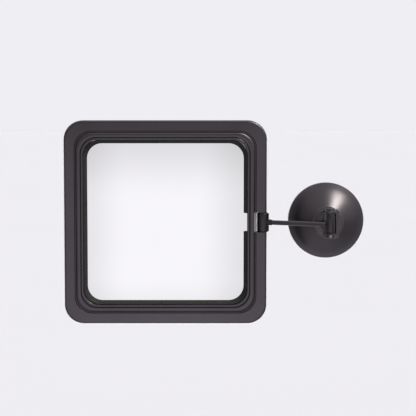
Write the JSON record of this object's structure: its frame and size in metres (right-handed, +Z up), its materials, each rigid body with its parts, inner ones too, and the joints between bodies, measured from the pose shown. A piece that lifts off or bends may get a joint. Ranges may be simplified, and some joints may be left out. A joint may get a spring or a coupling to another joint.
{
  "type": "wall-mounted swing-arm shaving mirror",
  "caption": "Square framed shaving mirror with rounded corners, carried on a slim swinging arm from a round domed wall rose.",
  "frame": {"origin": "centre of the wall plate's back face, on the wall plane", "axes": "+Y points into the wall and the viewer stands on the -Y side, +Z is up, the mirror hangs towards -X with its arm folded back"},
  "size_m": [0.2986, 0.0602, 0.2012],
  "materials": {
    "gunmetal": "satin dark gunmetal lacquer over metal",
    "bare_steel": "satin stainless steel",
    "mirror_glass": "silvered float glass, polished",
    "nylon": "moulded black nylon",
    "rubber": "matt black rubber",
    "foam": "off-white foam sheet"
  },
  "bodies": {
    "wall_mount": {"wall_plate": "bare_steel", "rose": "gunmetal", "rose_grub_screw": "bare_steel", "centre_bolt": "bare_steel", "collar": "gunmetal", "swivel_fork": "gunmetal", "pivot_screw": "gunmetal", "pivot_lock_screw": "bare_steel"},
    "arm": {"arm_barrel": "gunmetal", "arm_rod": "gunmetal", "pivot_washer_upper": "nylon", "pivot_washer_lower": "nylon", "tilt_washer": "nylon"},
    "tilt_head": {"pivot_barrel": "gunmetal", "tilt_grub_screw": "bare_steel"},
    "mirror": {"mirror_frame": "gunmetal", "mirror_glass": "mirror_glass", "glass_gasket": "rubber", "glass_pad": "foam", "back_cover": "gunmetal", "friction_spring": "bare_steel", "spring_screw_upper": "bare_steel", "spring_screw_lower": "bare_steel", "hinge_pin": "bare_steel", "pin_washer_upper": "nylon", "pin_washer_lower": "nylon", "cover_screw_upper_right": "bare_steel", "cover_screw_upper_left": "bare_steel", "cover_screw_lower_left": "bare_steel", "cover_screw_lower_right": "bare_steel"}
  },
  "joints": [
    {"name": "arm_swing", "type": "hinge", "parent": "wall_mount", "child": "arm", "pos_m": [0, -0.055, 0], "axis": [0, 0, 1], "range_deg": [0, 125]},
    {"name": "mirror_tilt", "type": "hinge", "parent": "arm", "child": "tilt_head", "pos_m": [-0.06409, -0.02539, 0], "axis": [0.9078, -0.4195, 0], "range_deg": [-20, 20]},
    {"name": "mirror_swing", "type": "hinge", "parent": "tilt_head", "child": "mirror", "pos_m": [-0.06409, -0.02539, 0], "axis": [0, 0, 1], "range_deg": [-95, 20]}
  ]
}
